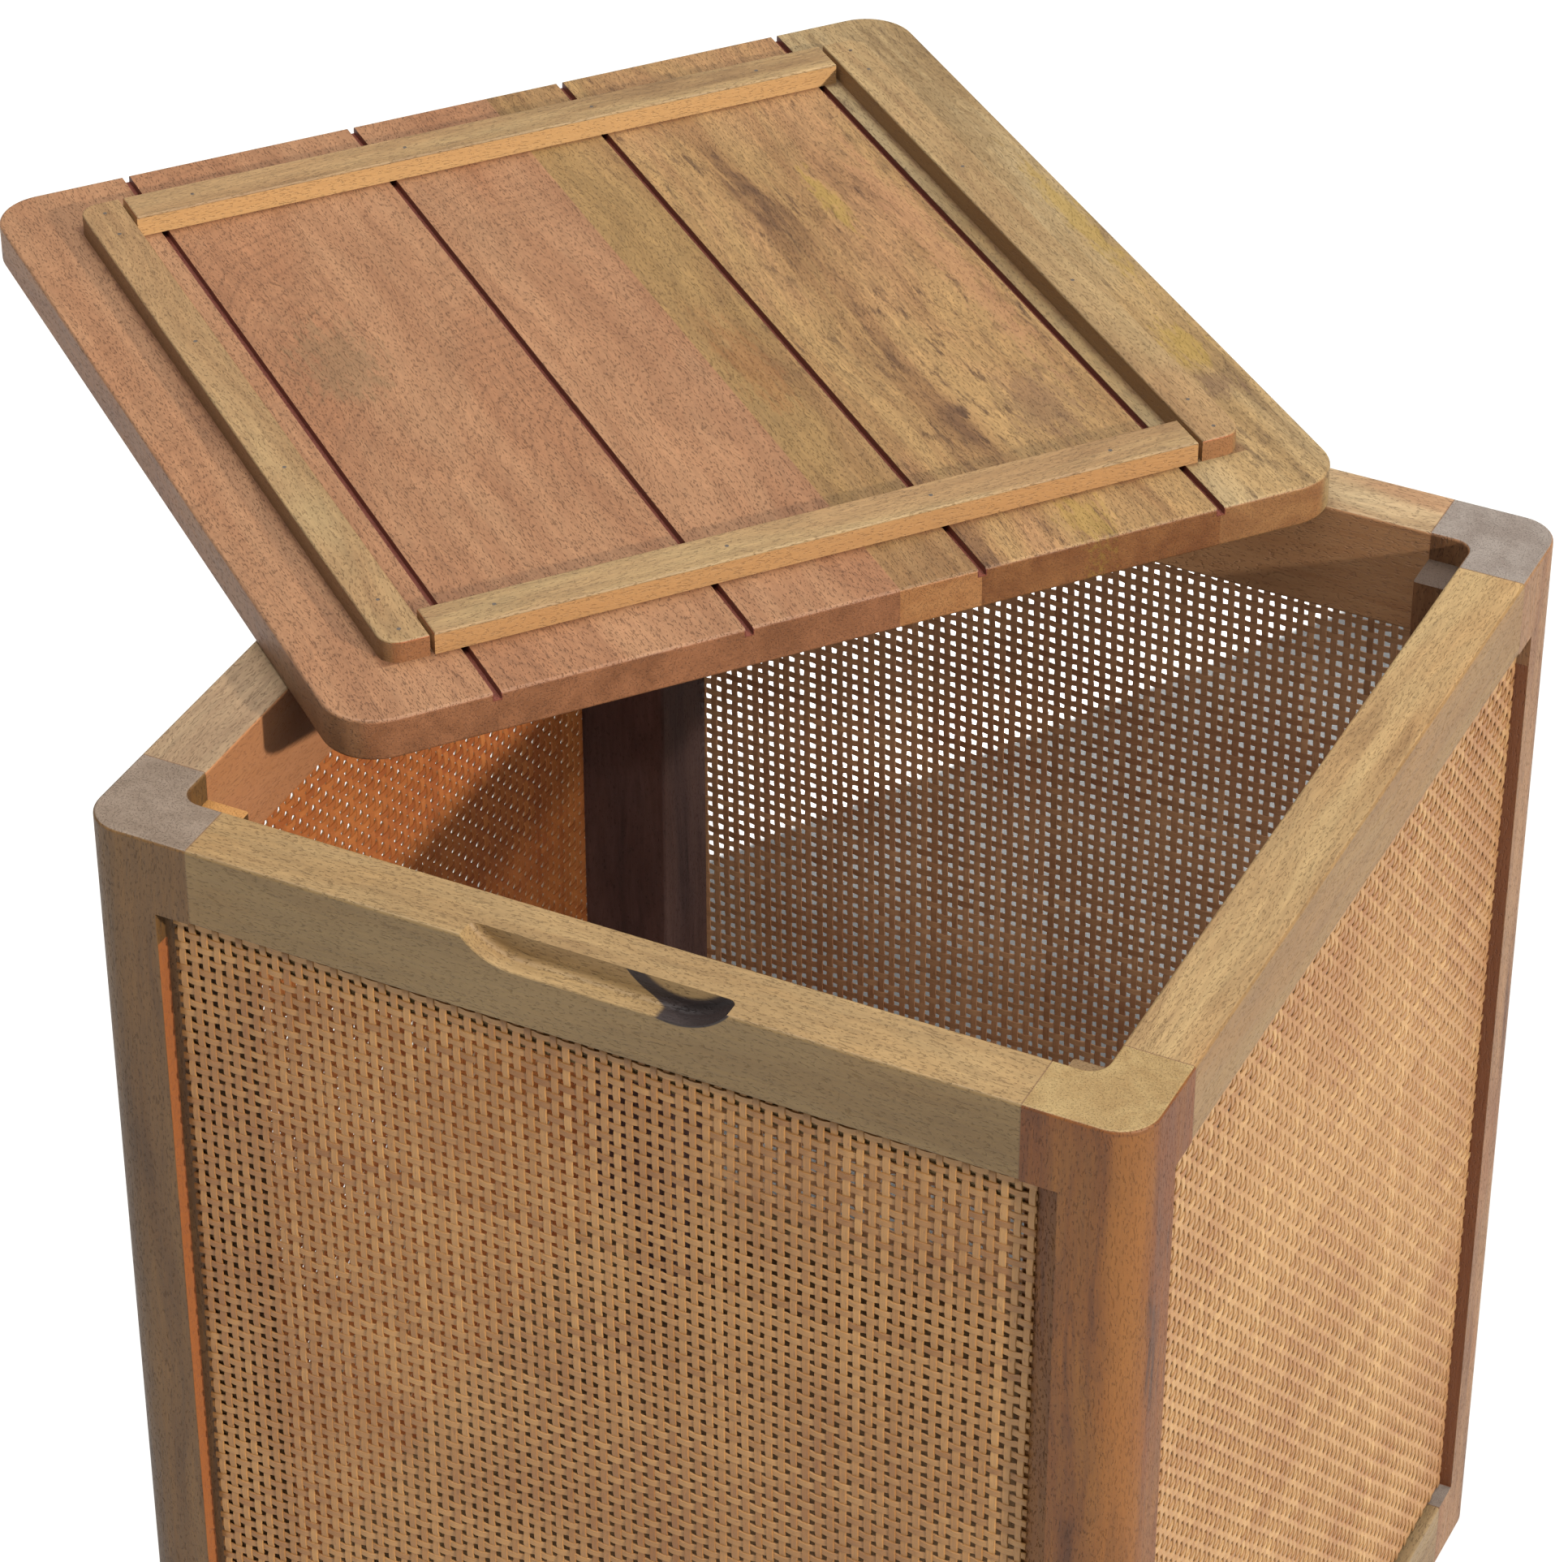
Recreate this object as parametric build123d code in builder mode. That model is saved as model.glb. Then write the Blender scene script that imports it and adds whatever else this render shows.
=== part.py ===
"""Laundry hamper: a mango-wood frame with woven cane panels and a loose slab lid.

Millimetres, +Z up, -Y is the front with the finger scoop. The origin is the centre of the
underside. The lid lies upside down and askew across the rim, its locating battens upward.
"""

import os
from math import cos, radians, sin

from build123d import *

os.makedirs("parts", exist_ok=True)

# Overall box
SIDE = 450.0
HEIGHT = 553.0
HALF = SIDE / 2
OUTER_CORNER = 17.0
EDGE_ROUND = 1.4

# Frame members
POST = 48.5
RAIL_THICK = 29.5
RAIL_HIGH = 51.0
POST_FACE = HALF - POST
RAIL_LENGTH = 2 * POST_FACE
RAIL_MIDDLE = HALF - RAIL_THICK / 2
RAIL_INNER = HALF - RAIL_THICK

# Rebate round each opening, which the cane lies in
REBATE_WIDE = 15.5
REBATE_DEEP = 6.5
LIP = RAIL_HIGH - REBATE_WIDE
OPENING_HALF = POST_FACE + REBATE_WIDE
OPENING_HIGH = HEIGHT - 2 * LIP

# Cane panels
CANE_THICK = 2.2
CANE_MARGIN_Z = 2.5
CANE_MARGIN_FRONT = 7.5
CANE_MARGIN_SIDE = 3.0
CANE_FRONT_SHIFT = -2.5

# Recess in the post tops that clears the lid's battens
TOP_RECESS_DEEP = 13.0
TOP_RECESS_CORNER = 8.0

# Finger scoop in the front rail
SCOOP_CENTRE = 0.5
SCOOP_TOP_HALF = 56.5
SCOOP_FLOOR_HALF = 33.5
SCOOP_DROP = 11.0
SCOOP_DEEP = 9.8
SCOOP_COVE = 3.0
SCOOP_OVERSHOOT = 20.0

# Dowels between rails and posts
DOWEL_RADIUS = 4.0
DOWEL_LENGTH = 40.0
DOWEL_FROM_EDGE = 13.0
DOWEL_SPACING = 24.0

# Base board, let into the underside and screwed from below
BOARD_THICK = 9.0
BOARD_BEARING = 10.0
BOARD_HALF = RAIL_INNER + BOARD_BEARING
SCREW_SHANK = 1.75
SCREW_HEAD = 3.5
SCREW_HEAD_DEEP = 2.2
SCREW_LENGTH = 30.0
SCREW_PLACES = (-120.0, 0.0, 120.0)

# Lid
LID_SIDE = 450.0
LID_HALF = LID_SIDE / 2
LID_THICK = 19.0
LID_CORNER = 23.0
LID_GAP = 0.3
LID_TURN = 50.4
LID_X = -177.0
LID_Y = 164.0
GROOVE_WIDE = 3.4
GROOVE_DEEP = 3.5
GROOVES = (-159.0, -50.0, 54.0, 164.0)
GLUE_LINE = 17.0

# Locating battens on the lid's underside
BATTEN_WIDE = 19.5
BATTEN_HIGH = 10.0
BATTEN_OUTER = 193.0
BATTEN_END = 190.0
BATTEN_CORNER = 9.0
BATTEN_GAP = 2.0
BATTEN_ROUND = 0.9
PIN_RADIUS = 0.9
PIN_LENGTH = 20.0
PIN_SIDE_PLACES = (-181.0, -158.0, -50.0, 60.0, 160.0, 180.0)
PIN_CROSS_PLACES = (-142.0, -40.0, 52.0, 135.0)


def save(builder, name):
    """Label a finished sub-part and write its STEP file."""
    builder.part.label = name
    export_step(builder.part, f"parts/{name}.step")


# Dowel places, measured along a rail from its middle and up from the floor
DOWEL_LEVELS = {
    "lower": (DOWEL_FROM_EDGE, DOWEL_FROM_EDGE + DOWEL_SPACING),
    "upper": (HEIGHT - DOWEL_FROM_EDGE - DOWEL_SPACING, HEIGHT - DOWEL_FROM_EDGE),
}
ALL_LEVELS = DOWEL_LEVELS["lower"] + DOWEL_LEVELS["upper"]

# Each side of the box: the plane of its outer face, whose local x runs along the side, whose
# local y is up and whose normal points out
SIDES = {
    "front": Plane(origin=(0, -HALF, 0), x_dir=(1, 0, 0), z_dir=(0, -1, 0)),
    "right": Plane(origin=(HALF, 0, 0), x_dir=(0, 1, 0), z_dir=(1, 0, 0)),
    "back": Plane(origin=(0, HALF, 0), x_dir=(-1, 0, 0), z_dir=(0, 1, 0)),
    "left": Plane(origin=(-HALF, 0, 0), x_dir=(0, -1, 0), z_dir=(-1, 0, 0)),
}

# ---------------------------------------------------------------- posts

CORNERS = {
    "front_left": (-1, -1),
    "front_right": (1, -1),
    "back_right": (1, 1),
    "back_left": (-1, 1),
}


def on_seam(edge):
    """True for an edge of a post's top that a rail butts against."""
    place = edge.center()
    return min(abs(abs(place.X) - POST_FACE), abs(abs(place.Y) - POST_FACE)) < 0.1


for corner, (sx, sy) in CORNERS.items():
    middle = HALF - POST / 2
    recess_middle = (POST_FACE + RAIL_INNER) / 2
    recess_side = RAIL_INNER - POST_FACE
    rebate_along = (POST_FACE + OPENING_HALF) / 2
    rebate_across = HALF - REBATE_DEEP / 2

    with BuildPart() as post:
        with BuildSketch() as section:
            with Locations((sx * middle, sy * middle)):
                Rectangle(POST, POST)
            by_distance = section.vertices().sort_by_distance((0, 0, 0))
            fillet(by_distance[-1], radius=OUTER_CORNER)
            fillet(section.vertices().sort_by_distance((0, 0, 0))[0], radius=EDGE_ROUND)
        extrude(amount=HEIGHT)

        # Rebates beside the two openings
        with BuildSketch(Plane.XY.offset(LIP)):
            with Locations((sx * rebate_along, sy * rebate_across)):
                Rectangle(REBATE_WIDE, REBATE_DEEP)
            with Locations((sx * rebate_across, sy * rebate_along)):
                Rectangle(REBATE_DEEP, REBATE_WIDE)
        extrude(amount=OPENING_HIGH, mode=Mode.SUBTRACT)

        # Recess for the lid's battens
        with BuildSketch(Plane.XY.offset(HEIGHT)) as recess:
            with Locations((sx * recess_middle, sy * recess_middle)):
                Rectangle(recess_side, recess_side)
            far_corner = recess.vertices().sort_by_distance((0, 0, HEIGHT))[-1]
            fillet(far_corner, radius=TOP_RECESS_CORNER)
        extrude(amount=-TOP_RECESS_DEEP, mode=Mode.SUBTRACT)

        # Seat of the base board's corner
        with BuildSketch():
            with Locations((sx * middle, sy * middle)):
                Rectangle(POST, POST)
            board_cut = BOARD_HALF - POST_FACE
            with Locations((sx * (HALF - POST + board_cut / 2), sy * (HALF - POST + board_cut / 2))):
                Rectangle(board_cut, board_cut, mode=Mode.INTERSECT)
        extrude(amount=BOARD_THICK, mode=Mode.SUBTRACT)

        # Soft edges on top, but not where the rails meet the post
        top_edges = post.faces().sort_by(Axis.Z)[-1].edges()
        fillet([e for e in top_edges if not on_seam(e)], radius=EDGE_ROUND)

        # Dowel holes from both rails
        for level in ALL_LEVELS:
            with Locations(
                Plane(origin=(sx * POST_FACE, sy * RAIL_MIDDLE, level), z_dir=(-sx, 0, 0)),
                Plane(origin=(sx * RAIL_MIDDLE, sy * POST_FACE, level), z_dir=(0, -sy, 0)),
            ):
                Hole(DOWEL_RADIUS, depth=DOWEL_LENGTH / 2)
    save(post, f"post_{corner}")

# ---------------------------------------------------------------- rails


def rail_section(row):
    """Corner points of a rail's section: x is out from the box's middle, y up from its own.

    The opening side of the outer face is rebated for the cane, so a bottom rail's section
    is the top rail's turned over.
    """
    sign = 1 if row == "top" else -1
    return [
        (RAIL_INNER, sign * RAIL_HIGH / 2),
        (HALF, sign * RAIL_HIGH / 2),
        (HALF, sign * (RAIL_HIGH / 2 - LIP)),
        (HALF - REBATE_DEEP, sign * (RAIL_HIGH / 2 - LIP)),
        (HALF - REBATE_DEEP, -sign * RAIL_HIGH / 2),
        (RAIL_INNER, -sign * RAIL_HIGH / 2),
    ]


# What the finger scoop takes out of the front rail: the ends rise in arcs off its flat floor,
# and its back is coved
with BuildPart() as scoop:
    with BuildSketch(SIDES["front"]) as scoop_face:
        with BuildLine():
            floor_left = (SCOOP_CENTRE - SCOOP_FLOOR_HALF, HEIGHT - SCOOP_DROP)
            floor_right = (SCOOP_CENTRE + SCOOP_FLOOR_HALF, HEIGHT - SCOOP_DROP)
            rise_right = TangentArc(
                floor_right, (SCOOP_CENTRE + SCOOP_TOP_HALF, HEIGHT), tangent=(1, 0)
            )
            rise_left = TangentArc(
                floor_left, (SCOOP_CENTRE - SCOOP_TOP_HALF, HEIGHT), tangent=(-1, 0)
            )
            above_right = rise_right @ 1 + (rise_right % 1) * SCOOP_OVERSHOOT
            above_left = rise_left @ 1 + (rise_left % 1) * SCOOP_OVERSHOOT
            Polyline(rise_right @ 1, above_right, above_left, rise_left @ 1)
            Line(floor_left, floor_right)
        make_face()
    extrude(amount=-SCOOP_DEEP)
    scoop_back = scoop.faces().sort_by(Axis.Y)[-1].edges().sort_by(Axis.Z)[:-1]
    fillet(scoop_back, radius=SCOOP_COVE)

for side, face in SIDES.items():
    outward = face.z_dir
    along = face.x_dir
    for row, middle_height in (("top", HEIGHT - RAIL_HIGH / 2), ("bottom", RAIL_HIGH / 2)):
        end_plane = Plane(
            origin=Vector(0, 0, middle_height) - along * (RAIL_LENGTH / 2),
            x_dir=outward,
            z_dir=outward.cross(Vector(0, 0, 1)),
        )
        flipped = end_plane.z_dir.dot(along) < 0
        run = -RAIL_LENGTH if flipped else RAIL_LENGTH

        with BuildPart() as rail:
            with BuildSketch(end_plane):
                with BuildLine():
                    Polyline(*rail_section(row), close=True)
                make_face()
            extrude(amount=run)
            lengthways = rail.edges().filter_by(lambda e: e.length > RAIL_LENGTH - 1)
            exposed = [
                e
                for e in lengthways
                if abs(e.center().dot(outward) - (HALF - REBATE_DEEP)) > 0.1
            ]
            fillet(exposed, radius=EDGE_ROUND)

            if row == "bottom":
                with BuildSketch(Plane(origin=(0, 0, 0), x_dir=along, z_dir=(0, 0, 1))) as seat:
                    step_middle = RAIL_INNER + BOARD_BEARING / 2
                    local = seat.workplanes[0].to_local_coords(outward * step_middle)
                    with Locations((local.X, local.Y)):
                        Rectangle(RAIL_LENGTH, BOARD_BEARING)
                extrude(amount=BOARD_THICK, mode=Mode.SUBTRACT)
                for place in SCREW_PLACES:
                    pilot = outward * (RAIL_INNER + BOARD_BEARING / 2) + along * place
                    with Locations(Plane(origin=pilot + Vector(0, 0, BOARD_THICK), z_dir=(0, 0, -1))):
                        Hole(SCREW_SHANK, depth=SCREW_LENGTH - BOARD_THICK)

            if (side, row) == ("front", "top"):
                add(scoop.part, mode=Mode.SUBTRACT)

            for level in DOWEL_LEVELS["upper" if row == "top" else "lower"]:
                for end in (-1, 1):
                    mouth = outward * RAIL_MIDDLE + along * (end * POST_FACE) + Vector(0, 0, level)
                    with Locations(Plane(origin=mouth, z_dir=along * end)):
                        Hole(DOWEL_RADIUS, depth=DOWEL_LENGTH / 2)
        save(rail, f"{row}_rail_{side}")

# ---------------------------------------------------------------- dowels

for row, levels in DOWEL_LEVELS.items():
    with BuildPart() as dowels:
        for face in SIDES.values():
            for level in levels:
                for end in (-1, 1):
                    middle_point = (
                        face.z_dir * RAIL_MIDDLE
                        + face.x_dir * (end * POST_FACE)
                        + Vector(0, 0, level)
                    )
                    with BuildSketch(Plane(origin=middle_point, z_dir=face.x_dir)):
                        Circle(DOWEL_RADIUS)
                    extrude(amount=DOWEL_LENGTH / 2, both=True)
    save(dowels, f"{row}_rail_dowels")

# ---------------------------------------------------------------- cane panels

for side, face in SIDES.items():
    margin = CANE_MARGIN_FRONT if side in ("front", "back") else CANE_MARGIN_SIDE
    shift = CANE_FRONT_SHIFT if side == "front" else 0
    with BuildPart() as cane:
        with BuildSketch(face.offset(-REBATE_DEEP)):
            with Locations((shift, HEIGHT / 2)):
                Rectangle(2 * (OPENING_HALF - margin), OPENING_HIGH - 2 * CANE_MARGIN_Z)
        extrude(amount=CANE_THICK)
    save(cane, f"cane_panel_{side}")

# ---------------------------------------------------------------- base board and its screws

SCREW_LINE = RAIL_INNER + BOARD_BEARING / 2
SCREW_POINTS = [(x, s * SCREW_LINE) for s in (-1, 1) for x in SCREW_PLACES]
SCREW_POINTS += [(s * SCREW_LINE, y) for s in (-1, 1) for y in SCREW_PLACES]

with BuildPart() as base_board:
    with BuildSketch():
        Rectangle(2 * BOARD_HALF, 2 * BOARD_HALF)
    extrude(amount=BOARD_THICK)
    with Locations(*[Plane(origin=(x, y, 0), z_dir=(0, 0, -1)) for x, y in SCREW_POINTS]):
        CounterSinkHole(SCREW_SHANK, SCREW_HEAD)
save(base_board, "base_board")

with BuildPart() as base_screws:
    with BuildSketch(Plane.XY.offset(SCREW_HEAD_DEEP / 2)):
        with Locations(*SCREW_POINTS):
            Circle(SCREW_SHANK)
    extrude(amount=SCREW_LENGTH - SCREW_HEAD_DEEP)
    for x, y in SCREW_POINTS:
        with Locations((x, y, 0)):
            Cone(
                SCREW_HEAD,
                SCREW_SHANK,
                SCREW_HEAD - SCREW_SHANK,
                align=(Align.CENTER, Align.CENTER, Align.MIN),
            )
save(base_screws, "base_screws")

# ---------------------------------------------------------------- lid boards

# The lid's own plane: origin on its lower face, local y along the boards, normal up
lid_plane = Plane(
    origin=(LID_X, LID_Y, HEIGHT + LID_GAP),
    x_dir=(cos(radians(LID_TURN)), sin(radians(LID_TURN)), 0),
    z_dir=(0, 0, 1),
)

BATTEN_MIDDLE = BATTEN_OUTER - BATTEN_WIDE / 2
CROSS_MIDDLE = BATTEN_END - BATTEN_WIDE / 2
PIN_POINTS = [(s * BATTEN_MIDDLE, y) for s in (-1, 1) for y in PIN_SIDE_PLACES]
PIN_POINTS += [(x, s * CROSS_MIDDLE) for s in (-1, 1) for x in PIN_CROSS_PLACES]
PIN_FOOT = LID_THICK + BATTEN_HIGH - PIN_LENGTH

seams = sorted((-LID_HALF, LID_HALF, GLUE_LINE) + GROOVES)
for number, (left, right) in enumerate(zip(seams[:-1], seams[1:]), start=1):
    outside = [x for x in (left, right) if abs(x) == LID_HALF]
    grooved = [x for x in (left, right) if x in GROOVES]

    with BuildPart() as board:
        with BuildSketch(lid_plane) as outline:
            with Locations(((left + right) / 2, 0)):
                Rectangle(right - left, LID_SIDE)
            round_these = [
                v for v in outline.vertices() if any(abs(v.X - x) < 0.01 for x in outside)
            ]
            if round_these:
                fillet(round_these, radius=LID_CORNER)
        extrude(amount=LID_THICK)

        # Half of the groove over each grooved joint
        if grooved:
            with BuildSketch(lid_plane.offset(LID_THICK)):
                for x in grooved:
                    inward = 1 if x == left else -1
                    with Locations((x + inward * GROOVE_WIDE / 4, 0)):
                        Rectangle(GROOVE_WIDE / 2, LID_SIDE)
            extrude(amount=-GROOVE_DEEP, mode=Mode.SUBTRACT)

        # Soften the edges that make the lid's outline
        rim_edges = []
        for edge in board.edges():
            place = lid_plane.to_local_coords(edge.center())
            flat = abs(edge.position_at(0).Z - edge.position_at(1).Z) < 0.01
            on_outline = abs(place.Y) > LID_HALF - LID_CORNER or abs(place.X) > LID_HALF - LID_CORNER
            on_face = min(abs(place.Z), abs(place.Z - LID_THICK)) < 0.01
            on_joint = any(abs(place.X - x) < GROOVE_WIDE for x in (left, right) if x not in outside)
            if flat and on_outline and on_face and not on_joint:
                rim_edges.append(edge)
        fillet(rim_edges, radius=EDGE_ROUND)

        # Pin holes
        here = [(x, y) for x, y in PIN_POINTS if left < x < right]
        if here:
            with BuildSketch(lid_plane.offset(PIN_FOOT)):
                with Locations(*here):
                    Circle(PIN_RADIUS)
            extrude(amount=LID_THICK - PIN_FOOT, mode=Mode.SUBTRACT)
    save(board, f"lid_board_{number}")

# ---------------------------------------------------------------- lid battens

batten_plane = lid_plane.offset(LID_THICK)
CROSS_LENGTH = 2 * (BATTEN_OUTER - BATTEN_WIDE - BATTEN_GAP)
BATTENS = {
    "left": (-BATTEN_MIDDLE, 0, BATTEN_WIDE, 2 * BATTEN_END),
    "right": (BATTEN_MIDDLE, 0, BATTEN_WIDE, 2 * BATTEN_END),
    "front": (0, -CROSS_MIDDLE, CROSS_LENGTH, BATTEN_WIDE),
    "back": (0, CROSS_MIDDLE, CROSS_LENGTH, BATTEN_WIDE),
}

for place, (x, y, wide, long) in BATTENS.items():
    with BuildPart() as batten:
        with BuildSketch(batten_plane) as outline:
            with Locations((x, y)):
                Rectangle(wide, long)
            if place in ("left", "right"):
                outer = [v for v in outline.vertices() if abs(v.X) > BATTEN_OUTER - 1]
                fillet(outer, radius=BATTEN_CORNER)
        extrude(amount=BATTEN_HIGH)
        fillet(batten.faces().sort_by(Axis.Z)[-1].edges(), radius=BATTEN_ROUND)
        here = [p for p in PIN_POINTS if abs(p[0] - x) < wide / 2 and abs(p[1] - y) < long / 2]
        with BuildSketch(batten_plane):
            with Locations(*here):
                Circle(PIN_RADIUS)
        extrude(amount=BATTEN_HIGH, mode=Mode.SUBTRACT)
    save(batten, f"lid_batten_{place}")

with BuildPart() as batten_pins:
    with BuildSketch(lid_plane.offset(PIN_FOOT)):
        with Locations(*PIN_POINTS):
            Circle(PIN_RADIUS)
    extrude(amount=PIN_LENGTH)
save(batten_pins, "lid_batten_pins")
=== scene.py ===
"""Laundry hamper: woven cane built strand by strand, and wood grain for every board and post."""

import math
import random

import bmesh
import bpy
from mathutils import Euler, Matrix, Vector


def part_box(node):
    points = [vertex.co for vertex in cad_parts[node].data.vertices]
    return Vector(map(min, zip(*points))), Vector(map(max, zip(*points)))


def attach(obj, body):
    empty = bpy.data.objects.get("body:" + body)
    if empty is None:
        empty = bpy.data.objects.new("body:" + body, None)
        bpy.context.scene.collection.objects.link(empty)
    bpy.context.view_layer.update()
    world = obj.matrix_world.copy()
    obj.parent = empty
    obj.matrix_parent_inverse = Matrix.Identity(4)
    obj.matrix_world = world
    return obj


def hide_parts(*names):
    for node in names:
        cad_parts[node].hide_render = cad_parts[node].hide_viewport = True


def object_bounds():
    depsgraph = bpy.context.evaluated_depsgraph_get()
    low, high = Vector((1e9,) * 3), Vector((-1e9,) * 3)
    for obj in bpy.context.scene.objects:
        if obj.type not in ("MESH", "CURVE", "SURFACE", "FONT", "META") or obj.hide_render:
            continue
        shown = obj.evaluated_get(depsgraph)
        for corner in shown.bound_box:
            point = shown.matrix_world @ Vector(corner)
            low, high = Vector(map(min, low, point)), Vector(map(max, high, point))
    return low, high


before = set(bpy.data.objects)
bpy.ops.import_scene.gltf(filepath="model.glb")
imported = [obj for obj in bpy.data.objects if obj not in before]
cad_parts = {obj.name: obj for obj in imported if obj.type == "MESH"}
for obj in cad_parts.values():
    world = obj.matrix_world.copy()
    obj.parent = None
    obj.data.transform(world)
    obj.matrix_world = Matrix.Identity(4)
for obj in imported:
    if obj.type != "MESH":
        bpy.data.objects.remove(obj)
cad_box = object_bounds()

# ---------------------------------------------------------------- sizes of the CAD model, metres

MM = 0.001
HALF = 0.225
HEIGHT = 0.553
POST_FACE = 0.1765
RECESS_DEEP = 0.013
RAIL_INNER = 0.1955
RAIL_HIGH = 0.051
REBATE_DEEP = 0.0065
REBATE_END = POST_FACE + 0.0155
SCOOP_FLOOR_END = 0.034
SCOOP_WALL = -0.2152
LID_TURN = 50.4
LID_CENTRE = Vector((-0.177, 0.164, 0.0))
LID_JOINTS = (-0.159, -0.050, 0.054, 0.164)
LID_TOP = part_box("lid_board_1")[1].z
GROOVE_DEEP = 0.0035
GROOVE_HALF = 0.0017
BATTEN_WIDE = 0.0195
BATTEN_OUTER = 0.193
BATTEN_END = 0.190
BATTEN_GAP = 0.002
BATTEN_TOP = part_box("lid_batten_left")[1].z

# ---------------------------------------------------------------- camera

CAMERA_AT = (0.79043, -1.68125, 1.83710)
CAMERA_AZIMUTH = 25.98
CAMERA_ELEVATION = 35.82
LENS = 128.52
SENSOR = 36.0

camera_data = bpy.data.cameras.new("camera")
camera_data.lens = LENS
camera_data.sensor_width = SENSOR
camera_data.clip_end = 50
camera = bpy.data.objects.new("camera", camera_data)
camera.location = CAMERA_AT
camera.rotation_euler = (math.radians(90 - CAMERA_ELEVATION), 0, math.radians(CAMERA_AZIMUTH))
bpy.context.scene.collection.objects.link(camera)
bpy.context.scene.camera = camera
bpy.context.scene.view_settings.view_transform = "Standard"
bpy.context.scene.view_settings.look = "None"

# ---------------------------------------------------------------- node helpers


def link(tree, a, b):
    tree.links.new(a, b)


def link_object(name, mesh):
    made = bpy.data.objects.new(name, mesh)
    bpy.context.scene.collection.objects.link(made)
    return made


def linear(red, green, blue):
    """A colour given in 0 to 255 as the shader wants it."""
    out = []
    for value in (red, green, blue):
        v = value / 255
        out.append(v / 12.92 if v <= 0.04045 else ((v + 0.055) / 1.055) ** 2.4)
    return (*out, 1.0)


def scaled(colour, gain):
    """A 0 to 255 colour as the shader wants it, made darker or paler."""
    return tuple(c * gain for c in linear(*colour)[:3]) + (1.0,)


class Graph:
    """A material's node tree, with one short call for each kind of node."""

    def __init__(self, name):
        self.material = bpy.data.materials.new(name)
        self.material.use_nodes = True
        self.tree = self.material.node_tree
        self.shader = self.tree.nodes["Principled BSDF"]

    def node(self, kind, **settings):
        made = self.tree.nodes.new(kind)
        for key, value in settings.items():
            setattr(made, key, value)
        return made

    def put(self, socket, value):
        if isinstance(value, bpy.types.NodeSocket):
            link(self.tree, value, socket)
        else:
            socket.default_value = value

    def point(self):
        """Where a point is on the object."""
        return self.node("ShaderNodeTexCoord").outputs["Object"]

    def normal(self):
        return self.node("ShaderNodeNewGeometry").outputs["Normal"]

    def split(self, vector):
        """A vector's x, y and z."""
        made = self.node("ShaderNodeSeparateXYZ")
        link(self.tree, vector, made.inputs[0])
        return made.outputs["X"], made.outputs["Y"], made.outputs["Z"]

    def math(self, operation, a, b=0.0, c=0.0, clamp=False):
        made = self.node("ShaderNodeMath", operation=operation, use_clamp=clamp)
        for socket, value in zip(made.inputs, (a, b, c)):
            self.put(socket, value)
        return made.outputs[0]

    def vector(self, operation, a, b):
        made = self.node("ShaderNodeVectorMath", operation=operation)
        self.put(made.inputs[0], a)
        self.put(made.inputs[1], b)
        return made.outputs["Value" if operation == "DOT_PRODUCT" else "Vector"]

    def length(self, a, b):
        """How long a flat vector of two parts is."""
        squares = self.math("ADD", self.math("MULTIPLY", a, a), self.math("MULTIPLY", b, b))
        return self.math("SQRT", squares)

    def place(self, turn=(0, 0, 0), shift=(0, 0, 0)):
        """Where a point is on the object, turned so that x runs along the grain."""
        made = self.node("ShaderNodeMapping")
        made.inputs["Rotation"].default_value = Euler([math.radians(a) for a in turn])
        made.inputs["Location"].default_value = shift
        link(self.tree, self.point(), made.inputs["Vector"])
        return made.outputs[0]

    def stretch(self, vector, factors):
        return self.vector("MULTIPLY", vector, factors)

    def slanted(self, vector, slant, factors):
        """The vector turned a little off the grain, and stretched."""
        made = self.node("ShaderNodeMapping")
        made.inputs["Rotation"].default_value = (0, 0, math.radians(slant))
        made.inputs["Scale"].default_value = factors
        link(self.tree, vector, made.inputs["Vector"])
        return made.outputs[0]

    def noise(self, vector, scale, detail=3.0, rough=0.55, distortion=0.0, colour=False):
        made = self.node("ShaderNodeTexNoise")
        self.put(made.inputs["Vector"], vector)
        made.inputs["Scale"].default_value = scale
        made.inputs["Detail"].default_value = detail
        made.inputs["Roughness"].default_value = rough
        made.inputs["Distortion"].default_value = distortion
        return made.outputs["Color" if colour else "Fac"]

    def ramp(self, value, low, high):
        """0 at low, 1 at high, smooth between."""
        made = self.node("ShaderNodeMapRange", interpolation_type="SMOOTHSTEP")
        self.put(made.inputs["Value"], value)
        made.inputs["From Min"].default_value = low
        made.inputs["From Max"].default_value = high
        return made.outputs["Result"]

    def mix(self, factor, a, b, blend="MIX"):
        made = self.node("ShaderNodeMix", data_type="RGBA", blend_type=blend)
        self.put(made.inputs[0], factor)
        self.put(made.inputs[6], a)
        self.put(made.inputs[7], b)
        return made.outputs[2]

    def lay(self, colour, over, mask, amount):
        """The colour with another laid over it where the mask is, by some amount."""
        return self.mix(self.math("MULTIPLY", mask, amount), colour, over)

    def shade(self, colour, value, gain, base):
        """The colour made darker or paler by a value that is first scaled and shifted."""
        return self.mix(1.0, colour, self.math("MULTIPLY_ADD", value, gain, base), "MULTIPLY")

    def finish(self, colour, roughness, height, depth, specular=0.35):
        self.put(self.shader.inputs["Base Color"], colour)
        self.put(self.shader.inputs["Roughness"], roughness)
        self.shader.inputs["Specular IOR Level"].default_value = specular
        bump = self.node("ShaderNodeBump")
        bump.inputs["Strength"].default_value = 1.0
        bump.inputs["Distance"].default_value = depth
        self.put(bump.inputs["Height"], height)
        link(self.tree, bump.outputs[0], self.shader.inputs["Normal"])
        return self.material


def position(g):
    """A point's x, y and z on the object."""
    return g.split(g.point())


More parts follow.
